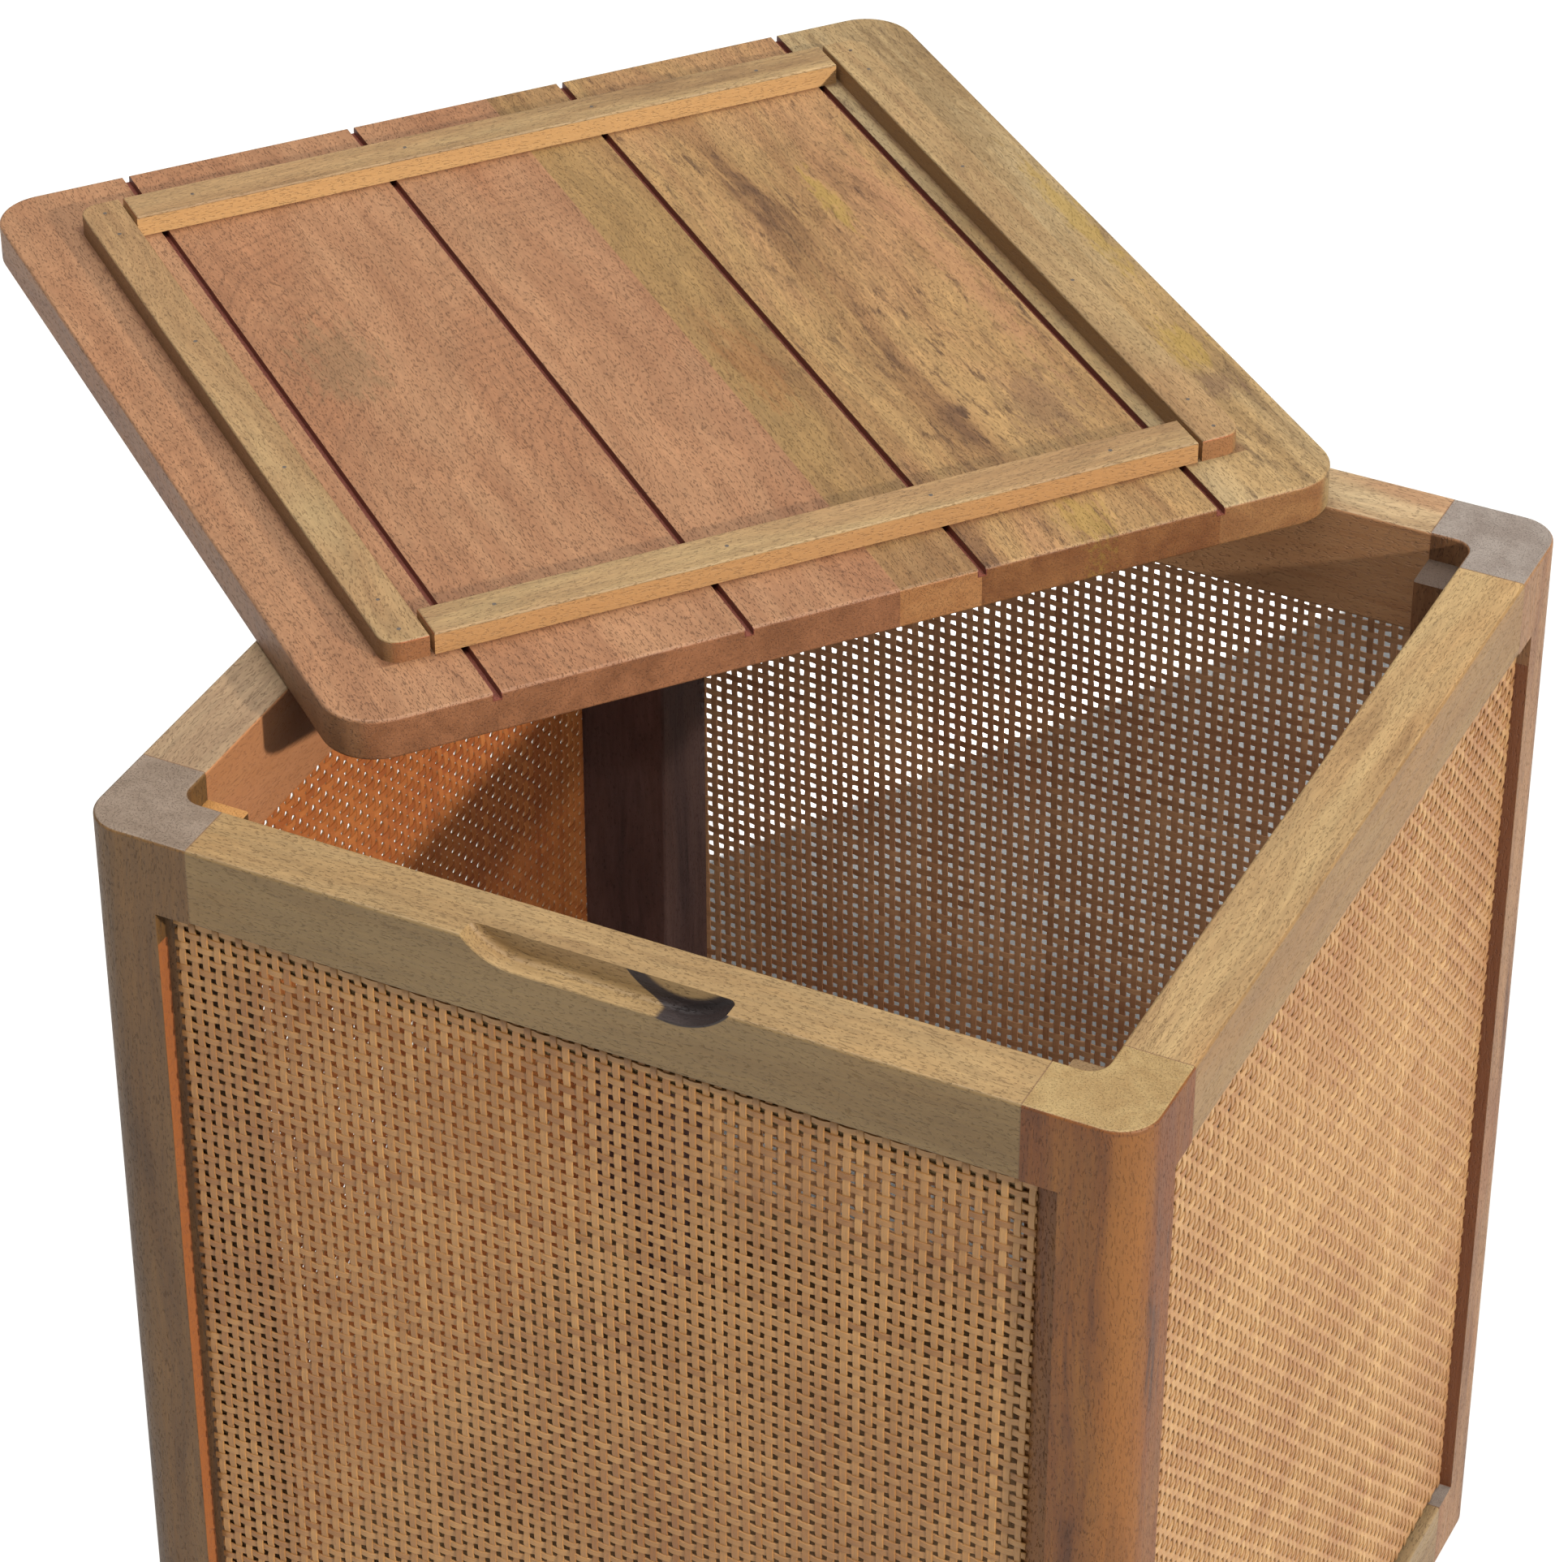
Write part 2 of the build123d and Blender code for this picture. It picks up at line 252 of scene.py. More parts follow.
def both(g, *masks):
    """Where every one of the masks is."""
    out = masks[0]
    for mask in masks[1:]:
        out = g.math("MULTIPLY", out, mask)
    return out


def near(g, value, target, reach):
    """Where a value is within reach of a target."""
    return g.math("LESS_THAN", g.math("ABSOLUTE", g.math("SUBTRACT", value, target)), reach)


# ---------------------------------------------------------------- floor and lights

FLOOR_HALF = 12.0
FLOOR_DROP = 0.0002
FLOOR_COLOUR = (0.100, 0.099, 0.096, 1)

# The paler strip, a painted patch of light inside the floor light's shadow: its corner, the
# headings of the two edges that meet there, its width along the right one, the y where it ends,
# and how soft each side is
PAINTED_LIGHT_FLOOR = (0.9, 0.9, 0.88, 1)
PALE_CORNER = (-0.331, 0.520)
PALE_RIGHT_EDGE, PALE_RIGHT_SOFT = 59.5, 0.004
PALE_LEFT_EDGE, PALE_LEFT_SOFT = 120.0, 0.012
PALE_WIDE, PALE_WIDE_SOFT = 0.132, 0.05
PALE_END, PALE_END_SOFT = 0.93, 0.03

KEY_TOWARDS = Vector((0.9, -0.22, 0.38))
KEY_STRENGTH = 4.6
KEY_COLOUR = (1.0, 0.93, 0.84)
KEY_SPREAD = 2.5
FLOOR_LIGHT_TOWARDS = Vector((0.25, -0.7694, 0.5878))
FLOOR_LIGHT_STRENGTH = 43.5
FLOOR_LIGHT_SPREAD = 3.0
FILL_TOWARDS = Vector((0.75, -0.55, 0.35))
FILL_STRENGTH = 1.5
SKY_TOP = 7.6
SKY_LOW = 0.05
SKY_POWER = 6.0


def within_edge(g, heading, sign):
    """How far a floor point lies within one of the painted light strip's edges."""
    angle = math.radians(heading)
    across = (-math.sin(angle) * sign, math.cos(angle) * sign, 0)
    offset = -(across[0] * PALE_CORNER[0] + across[1] * PALE_CORNER[1])
    return g.math("ADD", g.vector("DOT_PRODUCT", g.point(), across), offset)


def floor():
    """A pale floor, with a paler strip behind the hamper that its weave is seen against: painted
    light inside the floor light's shadow.
    """
    mesh = bpy.data.meshes.new("floor")
    corners = [(-FLOOR_HALF, -FLOOR_HALF), (FLOOR_HALF, -FLOOR_HALF)]
    corners += [(FLOOR_HALF, FLOOR_HALF), (-FLOOR_HALF, FLOOR_HALF)]
    level = cad_box[0].z - FLOOR_DROP
    mesh.from_pydata([(x, y, level) for x, y in corners], [], [(0, 1, 2, 3)])

    g = Graph("floor")
    _, y, _ = position(g)
    right = within_edge(g, PALE_RIGHT_EDGE, 1)
    left = within_edge(g, PALE_LEFT_EDGE, -1)
    # Where the strip of painted light lies
    inside = both(
        g,
        g.ramp(y, PALE_END + PALE_END_SOFT, PALE_END),
        g.ramp(right, -PALE_RIGHT_SOFT, PALE_RIGHT_SOFT),
        g.ramp(right, PALE_WIDE + PALE_WIDE_SOFT, PALE_WIDE),
        g.ramp(left, -PALE_LEFT_SOFT, PALE_LEFT_SOFT),
    )
    g.put(g.shader.inputs["Base Color"], g.mix(inside, FLOOR_COLOUR, PAINTED_LIGHT_FLOOR))
    g.shader.inputs["Roughness"].default_value = 0.9
    mesh.materials.append(g.material)
    made = link_object("floor", mesh)
    return made


def sun(name, towards, strength, spread, colour=(1, 1, 1)):
    data = bpy.data.lights.new(name, "SUN")
    data.energy = strength
    data.color = colour
    data.angle = math.radians(spread)
    lamp = bpy.data.objects.new(name, data)
    lamp.rotation_euler = towards.to_track_quat("Z", "Y").to_euler()
    bpy.context.scene.collection.objects.link(lamp)
    return lamp


def lit_only(lamp, objects, state="INCLUDE"):
    """Makes a lamp light these objects and no others, or all but these."""
    chosen = bpy.data.collections.new(lamp.name + "_objects")
    for one in objects:
        chosen.objects.link(one)
    lamp.light_linking.receiver_collection = chosen
    for entry in chosen.collection_objects:
        entry.light_linking.link_state = state


def sky():
    """A white sky, bright overhead and nearly dark at eye level."""
    world = bpy.data.worlds.new("studio")
    bpy.context.scene.world = world
    world.use_nodes = True
    tree = world.node_tree
    split = tree.nodes.new("ShaderNodeSeparateXYZ")
    link(tree, tree.nodes.new("ShaderNodeTexCoord").outputs["Generated"], split.inputs[0])

    value = split.outputs["Z"]
    for operation, numbers in (("MAXIMUM", (0.0,)), ("POWER", (SKY_POWER,)),
                               ("MULTIPLY_ADD", (SKY_TOP, SKY_LOW))):
        step = tree.nodes.new("ShaderNodeMath")
        step.operation = operation
        for socket, number in zip(step.inputs[1:], numbers):
            socket.default_value = number
        link(tree, value, step.inputs[0])
        value = step.outputs[0]
    link(tree, value, tree.nodes["Background"].inputs["Strength"])
    tree.nodes["Background"].inputs["Color"].default_value = (1, 1, 1, 1)


def lights(ground):
    """The floor has a sun of its own, whose shadow falls where the hamper hides it."""
    key = sun("key", KEY_TOWARDS, KEY_STRENGTH, KEY_SPREAD, KEY_COLOUR)
    lit_only(key, [ground], "EXCLUDE")
    floor_light = sun("floor_light", FLOOR_LIGHT_TOWARDS, FLOOR_LIGHT_STRENGTH,
                      FLOOR_LIGHT_SPREAD)
    lit_only(floor_light, [ground])
    sky()


# ---------------------------------------------------------------- wood

GRAIN_TURN = {
    "x": (0, 0, 0),
    "y": (0, 0, -90),
    "z": (0, 90, 0),
    "lid": (0, 0, -(LID_TURN + 90)),
    "lid_across": (0, 0, -LID_TURN),
}


def grain_axis(along):
    """The grain's direction in the object's own frame."""
    if along == "lid":
        angle = math.radians(LID_TURN + 90)
    elif along == "lid_across":
        angle = math.radians(LID_TURN)
    else:
        return {"x": (1, 0, 0), "y": (0, 1, 0), "z": (0, 0, 1)}[along]
    return (math.cos(angle), math.sin(angle), 0)


def ring_lines(g, p, sway, draw):
    """Growth rings: thin wavy lines at equal distances from a heart line that leans through."""
    lean = draw.uniform(0.25, 0.5) * draw.choice((-1, 1))
    heart = g.vector("ADD", g.vector("MULTIPLY", p, (lean, 1, 1)),
                     g.vector("MULTIPLY", sway, (0.0, 0.09, 0.09)))
    rings = g.node("ShaderNodeTexWave", wave_type="BANDS", bands_direction="DIAGONAL",
                   wave_profile="SAW")
    g.put(rings.inputs["Vector"], heart)
    rings.inputs["Scale"].default_value = draw.uniform(20, 26)
    rings.inputs["Distortion"].default_value = 4.0
    rings.inputs["Detail"].default_value = 3.0
    rings.inputs["Detail Scale"].default_value = 0.7
    return g.ramp(rings.outputs["Fac"], 0.84, 0.99)


def end_grain(g, p, grit, look):
    """Across the grain the wood is plainer, with faint blotches and tiny dots."""
    blotch = g.ramp(g.noise(p, 60.0, 4.0, 0.6, 0.6), 0.3, 0.7)
    dark = scaled(look["end_dark"], look["end_gain"])
    pale = scaled(look["end"], look["end_gain"])
    return g.shade(g.mix(blotch, dark, pale), grit, 0.5, 0.75)


def across_grain(g, along):
    """Where the surface cuts straight across the grain."""
    space = g.node("ShaderNodeVectorTransform", vector_type="NORMAL", convert_from="WORLD",
                   convert_to="OBJECT")
    link(g.tree, g.normal(), space.inputs[0])
    facing = g.math("ABSOLUTE", g.vector("DOT_PRODUCT", space.outputs[0], grain_axis(along)))
    return g.ramp(facing, 0.75, 0.92)


def wood(name, along, seed, tone, marks=()):
    """Oiled mango wood of one tone, its grain running along the part.

    Each mark is a mask made by the caller, the colour it lays on and how strongly; the colours
    are stains, and painted light and shade.
    """
    g = Graph(name)
    draw = random.Random(seed)
    shift = [draw.uniform(-9, 9) for _ in range(3)]
    p = g.place(GRAIN_TURN[along], shift)
    look = dict(PLAIN, **TONES[tone])
    light, middle, dark, second = [
        scaled(look[key], look["gain"]) for key in ("light", "middle", "dark", "second")
    ]

    sway = g.noise(g.stretch(p, (4, 10, 10)), 1.0, 2.0, colour=True)
    sway = g.vector("SUBTRACT", sway, (0.5, 0.5, 0.5))
    warped = g.vector("ADD", p, g.vector("MULTIPLY", sway, (0.0, 0.03, 0.03)))

    coarse = g.noise(g.stretch(warped, (5, 60, 60)), 1.0, 5.0, 0.65)
    fine = g.noise(g.stretch(warped, (30, 480, 480)), 1.0, 4.0, 0.7)
    patch = g.noise(g.stretch(warped, (4.5, 11, 11)), 1.0, 3.0, 0.6, 0.4)
    cloud = g.noise(g.stretch(p, (9, 17, 17)), 1.0, 5.0, 0.65, 0.8)
    grit = g.noise(p, 700.0, 3.0, 0.7)

    colour = g.mix(g.ramp(coarse, 0.34, 0.66), middle, light)
    colour = g.lay(colour, second, g.ramp(patch, 0.47, 0.62), look["figure"])

    if name in LID_HEARTS:
        bend = g.noise(g.stretch(p, (7, 15, 15)), 1.0, 1.0, 0.4)
        ring = growth_arcs(g, LID_HEARTS[name], g.math("SUBTRACT", bend, 0.5), cloud)
    else:
        ring = ring_lines(g, p, sway, draw)
    ring = both(g, ring, g.ramp(grit, 0.36, 0.56), g.ramp(patch, 0.36, 0.6))
    colour = g.lay(colour, dark, ring, look["rings"])

    # Long dark streaks, and the short slanting ones of interlocked grain
    streak = both(g, g.ramp(coarse, 0.52, 0.36), g.ramp(cloud, 0.42, 0.66))
    colour = g.lay(colour, dark, streak, look["streaks"])
    curl = g.noise(g.slanted(warped, look["slant"], (38, 230, 230)), 1.0, 4.0, 0.7, 0.3)
    curl = both(g, g.ramp(curl, 0.52, 0.68), g.ramp(cloud, 0.38, 0.6))
    colour = g.lay(colour, dark, curl, look["curl"])

    # Fibres, pores and the last uneven shade
    fibre = g.noise(g.slanted(warped, look["slant"], (75, 640, 640)), 1.0, 4.0, 0.75, 0.6)
    colour = g.shade(colour, g.math("SUBTRACT", fibre, 0.5), look["fibre"], 1.0)
    pore = g.ramp(g.noise(g.stretch(warped, (400, 1500, 1500)), 1.0, 2.0, 0.5), 0.56, 0.68)
    colour = g.lay(colour, dark, pore, look["pores"])
    colour = g.shade(colour, fine, 0.7, 0.65)
    colour = g.shade(colour, cloud, 0.5, 0.75)
    colour = g.mix(across_grain(g, along), colour, end_grain(g, p, grit, look))

    # Each mark's colour is laid on: stains, and painted light and shade
    for mask, stain, strength in marks:
        factor = g.math("MULTIPLY", mask(g), strength, clamp=True)
        colour = g.mix(factor, colour, linear(*stain))

    rough = g.math("ADD", g.math("MULTIPLY_ADD", fine, 0.25, 0.42), g.math("MULTIPLY", pore, 0.2))
    height = g.math("SUBTRACT", g.math("MULTIPLY", fine, 0.6), g.math("MULTIPLY", pore, 0.8))
    return g.finish(colour, rough, height, 0.0003)


# ---------------------------------------------------------------- masks

UNDER_RAIL = HEIGHT - RAIL_HIGH + 0.0002
REBATE_MIDDLE = (POST_FACE + REBATE_END) / 2
REBATE_STRIP_HALF = 0.0077
# Line and reach of the painted corner highlight
HIGHLIGHT_LINE = 0.217
HIGHLIGHT_REACH = (0.012, 0.004)
# Reach of the painted shade at the battens' feet
FOOT_SHADE_REACH = (0.0135, 0.0095)
RING_STEP = 0.0085

# The ring of painted shade at the scoop's end: its centre above the rim, and the radii where its
# two edges fade
SHADE_RING_RISE = 0.0185
SHADE_RING_INNER = (0.0226, 0.0252)
SHADE_RING_OUTER = (0.0306, 0.0300)


def lid_axis(g, across):
    """A point's distance from the lid's middle, across its boards or along them."""
    angle = math.radians(LID_TURN if across else LID_TURN + 90)
    axis = (math.cos(angle), math.sin(angle), 0)
    offset = -(LID_CENTRE.x * axis[0] + LID_CENTRE.y * axis[1])
    return g.math("ADD", g.vector("DOT_PRODUCT", g.point(), axis), offset)


def turned_to(g, direction, least):
    """Where the surface looks more or less in one direction."""
    return g.math("GREATER_THAN", g.vector("DOT_PRODUCT", g.normal(), direction), least)


def rebate_wall(g):
    """The posts' rebate sides, which face the cane's edges; their colour is partly their wood and
    partly painted light and shade.
    """
    x, y, z = position(g)
    x, y = g.math("ABSOLUTE", x), g.math("ABSOLUTE", y)
    first, second = [
        both(g, near(g, this, REBATE_END, 0.0005),
             g.math("LESS_THAN", other, HALF - 0.0003),
             g.math("GREATER_THAN", other, HALF - REBATE_DEEP - 0.0002))
        for this, other in ((x, y), (y, x))
    ]
    return both(g, g.math("MAXIMUM", first, second), g.math("LESS_THAN", z, UNDER_RAIL))


def rebate_floor(g):
    """The bare strip beside the right panel's edges."""
    x, y, z = position(g)
    return both(g, near(g, x, HALF - REBATE_DEEP, 0.0004),
                near(g, g.math("ABSOLUTE", y), REBATE_MIDDLE, REBATE_STRIP_HALF),
                g.math("LESS_THAN", z, UNDER_RAIL))


def ledge(g):
    """The floor of the recess in a post's top."""
    _, _, z = position(g)
    _, _, up = g.split(g.normal())
    return both(g, near(g, z, HEIGHT - RECESS_DEEP, 0.001), g.math("GREATER_THAN", up, 0.5))


def corner_highlight(g):
    """A painted highlight: a bright band along the front right post's rounded corner."""
    x, y, z = position(g)
    far = g.length(g.math("SUBTRACT", x, HIGHLIGHT_LINE), g.math("ADD", y, HIGHLIGHT_LINE))
    sway = g.noise(g.stretch(g.place(), (140, 140, 5)), 1.0, 3.0, 0.6)
    far = g.math("ADD", far, g.math("MULTIPLY_ADD", sway, 0.016, -0.008))
    return both(g, g.ramp(far, *HIGHLIGHT_REACH), g.math("LESS_THAN", z, HEIGHT - 0.0022))


def back_left_outside(g):
    """The back left post's two outer faces and the round between them, which get a plainer colour
    over the painted shade of its tone.
    """
    return turned_to(g, (-0.707, 0.707, 0), 0.3)


def inner_face(axis, sign):
    """A rail's face toward the inside of the hamper, where painted light goes."""

    def mask(g):
        value = position(g)["XY".index(axis)]
        return g.math("LESS_THAN", g.math("MULTIPLY", value, sign), RAIL_INNER + 0.0004)

    return mask


def outer_face(axis, sign):
    """A rail's face on the outside of the hamper, where painted shade goes."""

    def mask(g):
        value = position(g)["XY".index(axis)]
        return g.math("GREATER_THAN", g.math("MULTIPLY", value, sign), HALF - 0.0008)

    return mask


def rail_seam(axis):
    """A fine dark line where a rail's ends meet the posts."""

    def mask(g):
        value = position(g)["XY".index(axis)]
        return g.ramp(g.math("ABSOLUTE", value), POST_FACE - 0.0007, POST_FACE - 0.0002)

    return mask


def scoop_shade_ring(g):
    """Painted shade: a dark crescent where the curved right end of the finger scoop lies in
    shade.
    """
    x, y, z = position(g)
    far = g.length(g.math("SUBTRACT", x, SCOOP_FLOOR_END),
                   g.math("SUBTRACT", z, HEIGHT + SHADE_RING_RISE))
    ring = both(g, g.ramp(far, *SHADE_RING_INNER), g.ramp(far, *SHADE_RING_OUTER))
    wall = both(g, g.math("LESS_THAN", y, SCOOP_WALL + 0.0006),
                g.math("LESS_THAN", z, HEIGHT - 0.0002))
    return both(g, ring, wall)


def batten_side(g):
    """All of a batten but its top face, where painted light and shade go."""
    _, _, z = position(g)
    return g.math("LESS_THAN", z, BATTEN_TOP - 0.0009)


def batten_foot_shade(g):
    """Painted shade in the corners along the battens' feet, with a ragged edge."""
    u, v = g.math("ABSOLUTE", lid_axis(g, True)), g.math("ABSOLUTE", lid_axis(g, False))
    rag = g.math("MULTIPLY_ADD", g.noise(g.place(), 160.0, 3.0), 0.005, -0.0025)
    feet = []
    for value, outer, other, end in (
        (u, BATTEN_OUTER, v, BATTEN_END),
        (v, BATTEN_END, u, BATTEN_OUTER - BATTEN_WIDE - BATTEN_GAP),
    ):
        away = g.math("ABSOLUTE", g.math("SUBTRACT", value, outer - BATTEN_WIDE / 2))
        away = g.ramp(g.math("ADD", away, rag), *FOOT_SHADE_REACH)
        feet.append(both(g, away, g.math("LESS_THAN", other, end)))
    return g.math("MAXIMUM", *feet)


def lid_patch(across, along, wide, long):
    """A ragged stain at one place on the lid, drawn out along the boards."""

    def mask(g):
        far = g.length(
            g.math("MULTIPLY_ADD", lid_axis(g, True), 1 / wide, -across / wide),
            g.math("MULTIPLY_ADD", lid_axis(g, False), 1 / long, -along / long),
        )
        fibres = g.noise(g.stretch(g.place(GRAIN_TURN["lid"]), (70, 330, 330)), 1.0, 4.0, 0.7)
        return g.ramp(g.math("ADD", far, g.math("MULTIPLY_ADD", fibres, 3.0, -1.5)), 1.0, 0.35)

    return mask


def growth_arcs(g, heart, bend, cloud):
    """Thin lines at even distances from a heart on the lid."""
    du = g.math("SUBTRACT", lid_axis(g, True), heart[0])
    dv = g.math("MULTIPLY", g.math("SUBTRACT", lid_axis(g, False), heart[1]), 0.9)
    far = g.math("MULTIPLY_ADD", bend, 0.05, g.length(du, dv))
    far = g.math("MULTIPLY_ADD", cloud, 0.012, far)
    turn = g.math("FRACT", g.math("MULTIPLY", far, 1 / RING_STEP))
    return g.ramp(g.math("ABSOLUTE", g.math("SUBTRACT", turn, 0.5)), 0.30, 0.49)


def groove_line(joint):
    """The inside of the groove over one joint between lid boards."""

    def mask(g):
        _, _, z = position(g)
        return both(g, g.math("LESS_THAN", z, LID_TOP - 0.0005),
                    g.math("GREATER_THAN", z, LID_TOP - GROOVE_DEEP - 0.0003),
                    near(g, lid_axis(g, True), joint, GROOVE_HALF + 0.0004))

    return mask


# ---------------------------------------------------------------- tones

PLAIN = {
    "gain": 0.41,
    "end_gain": 0.62,
    "figure": 0.5,
    "rings": 0.25,
    "streaks": 0.5,
    "curl": 0.25,
    "slant": 12,
    "pores": 0.35,
    "fibre": 0.5,
    "end": (160, 122, 88),
    "end_dark": (128, 92, 62),
}
TONES = {
    "rail_front": {"gain": 0.42, "light": (190, 156, 104), "middle": (172, 136, 86),
                   "dark": (112, 77, 43), "second": (184, 138, 78), "curl": 0.2, "rings": 0.1},
    "rail_right": {"gain": 0.43, "light": (204, 171, 117), "middle": (186, 149, 99),
                   "dark": (124, 90, 53), "second": (190, 141, 86), "curl": 0.3,
                   "rings": 0.1},
    "rail_back": {"gain": 0.5, "light": (194, 168, 126), "middle": (172, 142, 102),
                  "dark": (96, 64, 40), "second": (176, 130, 92), "figure": 0.7},
    "rail_left": {"light": (190, 160, 122), "middle": (170, 136, 102), "dark": (112, 82, 56),
                  "second": (184, 146, 122), "figure": 0.7},
    "rail_low": {"light": (180, 150, 106), "middle": (158, 124, 82), "dark": (104, 72, 46),
                 "second": (170, 130, 88)},
    "post_left": {"gain": 0.29, "light": (162, 118, 64), "middle": (136, 94, 46),
                  "dark": (84, 56, 28), "second": (148, 98, 44), "end_gain": 0.37,
                  "end": (172, 150, 130), "end_dark": (150, 128, 108)},
    "post_right": {"gain": 0.3, "light": (188, 120, 44), "middle": (156, 88, 30),
                   "dark": (80, 44, 16), "second": (172, 97, 28), "streaks": 0.9,
                   "figure": 0.7, "end_gain": 0.4, "end": (202, 170, 112),
                   "end_dark": (182, 146, 90)},
    "post_far": {"gain": 0.5, "light": (172, 130, 90), "middle": (142, 98, 62),
                 "dark": (82, 50, 32), "second": (150, 92, 54), "streaks": 0.8,
                 "end_gain": 0.4, "end": (176, 162, 150), "end_dark": (156, 140, 128)},
    # The back left post's tone: painted shade, dull and cool as its inner faces look in shade
    "post_inner_shade": {"gain": 0.6, "light": (132, 102, 96), "middle": (104, 80, 80),
                   "dark": (68, 50, 52), "second": (112, 76, 66), "streaks": 0.8},
    "pink": {"gain": 0.36, "light": (204, 150, 106), "middle": (190, 134, 92),
             "dark": (104, 66, 40), "second": (184, 122, 80), "rings": 0.28, "streaks": 0.2,
             "curl": 0.1, "pores": 0.5, "fibre": 0.35, "end_gain": 0.5, "end": (176, 118, 80),
             "end_dark": (148, 96, 62)},
    "yellow": {"gain": 0.315, "light": (200, 154, 98), "middle": (176, 128, 76),
               "dark": (110, 72, 38), "second": (204, 164, 96), "rings": 0.15,
               "streaks": 0.6, "curl": 0.5, "fibre": 0.9, "end": (178, 126, 78),
               "end_dark": (158, 104, 60)},
    "olive": {"gain": 0.37, "light": (200, 158, 100), "middle": (172, 126, 76),
              "dark": (88, 54, 30), "second": (206, 150, 104), "curl": 0.8, "slant": 24,
              "streaks": 0.7, "rings": 0.1, "fibre": 1.3, "end_gain": 0.5,
              "end": (164, 110, 64), "end_dark": (136, 84, 46)},
    "border": {"gain": 0.41, "light": (200, 172, 124), "middle": (176, 144, 96),
               "dark": (108, 80, 50), "second": (200, 158, 96), "curl": 0.7, "slant": 16,
               "streaks": 0.6, "rings": 0.1, "fibre": 1.0, "end": (168, 122, 76),
               "end_dark": (142, 96, 58)},
    "batten": {"gain": 0.36, "light": (208, 174, 120), "middle": (186, 148, 98),
               "dark": (128, 90, 56), "second": (194, 146, 96), "curl": 0.25, "rings": 0.05,
               "streaks": 0.4, "fibre": 0.7, "end": (190, 122, 78), "end_dark": (158, 92, 54)},
    "board": {"light": (150, 118, 80), "middle": (130, 98, 62), "dark": (90, 62, 40),
              "second": (140, 106, 70)},
}
LID_HEARTS = {"lid_board_1": (-0.10, -0.26), "lid_board_2": (-0.019, -0.107),
              "lid_board_3": (0.10, -0.12)}

# Stains, and painted light and shade, in 0 to 255
# Painted light on the back rail's inner face: a warmer colour, for the light inside the box
BACK_INSIDE_LIGHT = (124, 81, 49)
# Painted shade at the right end of the finger scoop
SCOOP_SHADE = (34, 24, 22)
# Painted shade along the battens' feet
FOOT_SHADE = (84, 48, 26)
# Painted shade on the front rail's outer face
FRONT_FACE_SHADE = (88, 71, 42)
# A painted highlight on the front right post's corner
CORNER_HIGHLIGHT = (116, 72, 24)
GROOVE_BROWN = (98, 48, 34)
# Painted light on the left rail's inner face: a warmer, more orange colour, for the light inside
# the box
LEFT_INSIDE_LIGHT = (150, 96, 56)
POST_OUTSIDE = (104, 74, 46)
REBATE_TAN = (146, 99, 62)
# Painted shade on the right rail's outer face
RIGHT_FACE_SHADE = (100, 72, 38)
SEAM_BROWN = (84, 56, 36)
SMUDGE = (92, 76, 50)
UMBER = (84, 60, 42)
YELLOW = (128, 104, 44)

# Each post's tone, the colour of its rebate walls and of its ledge, and its own marks; the rebate
# wall colours are partly wood and partly painted light and shade
POSTS = {
    "front_left": ("post_left", (132, 76, 38), (144, 100, 46), []),
    # The front right post's corner band is a painted highlight
    "front_right": ("post_right", (100, 62, 40), (112, 86, 54),
                    [(rebate_floor, REBATE_TAN, 0.8), (corner_highlight, CORNER_HIGHLIGHT, 0.6)]),
    "back_right": ("post_far", (98, 54, 28), (64, 47, 34), [(rebate_floor, REBATE_TAN, 0.8)]),
    # The back left post's tone is painted shade; its outer faces get a plainer colour over it
    "back_left": ("post_inner_shade", (110, 66, 38), (80, 60, 48),
                  [(back_left_outside, POST_OUTSIDE, 0.7)]),
}
# Each rail's grain and its marks: painted shade on the front and right rails' outer faces and at
# the scoop's end, painted light on the back and left rails' inner faces
RAILS = {
    "front": ("x", [(outer_face("Y", -1), FRONT_FACE_SHADE, 0.5), (scoop_shade_ring, SCOOP_SHADE, 1.0)]),
    "right": ("y", [(outer_face("X", 1), RIGHT_FACE_SHADE, 0.5)]),
    "back": ("x", [(inner_face("Y", 1), BACK_INSIDE_LIGHT, 0.7)]),
    "left": ("y", [(inner_face("X", -1), LEFT_INSIDE_LIGHT, 0.7)]),
}
BOARD_TONES = ("pink", "pink", "pink", "yellow", "olive", "border")
BOARD_STAINS = {
    2: [(lid_patch(-0.128, 0.033, 0.022, 0.045), SMUDGE, 0.4)],
    4: [(lid_patch(0.033, -0.042, 0.012, 0.05), (110, 70, 34), 0.45)],
    5: [(lid_patch(0.123, 0.075, 0.006, 0.035), YELLOW, 0.6),
        (lid_patch(0.109, -0.208, 0.012, 0.022), YELLOW, 0.5),
        (lid_patch(0.150, 0.010, 0.010, 0.13), (138, 99, 68), 0.5),
        (lid_patch(0.132, -0.12, 0.020, 0.035), UMBER, 0.45)],
    6: [(lid_patch(0.217, 0.010, 0.007, 0.07), YELLOW, 0.6),
        (lid_patch(0.210, -0.105, 0.010, 0.028), YELLOW, 0.65),
        (lid_patch(0.208, -0.138, 0.012, 0.016), UMBER, 0.6),
        (lid_patch(0.205, 0.130, 0.018, 0.080), (96, 74, 44), 0.45)],
}
# Each batten's grain and the colour on its sides: painted shade on the left and right battens,
# whose sides face away from the light, painted light on the front and back battens, whose sides
# face it
BATTENS = {
    "left": ("lid", (114, 78, 48)),
    "right": ("lid", (124, 90, 56)),
    "front": ("lid_across", (162, 120, 76)),
    "back": ("lid_across", (178, 138, 90)),
}

# ---------------------------------------------------------------- materials of the CAD nodes


def dress(node, material):
    """Gives a CAD node its material."""
    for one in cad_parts[node].material_slots:
        one.material = material


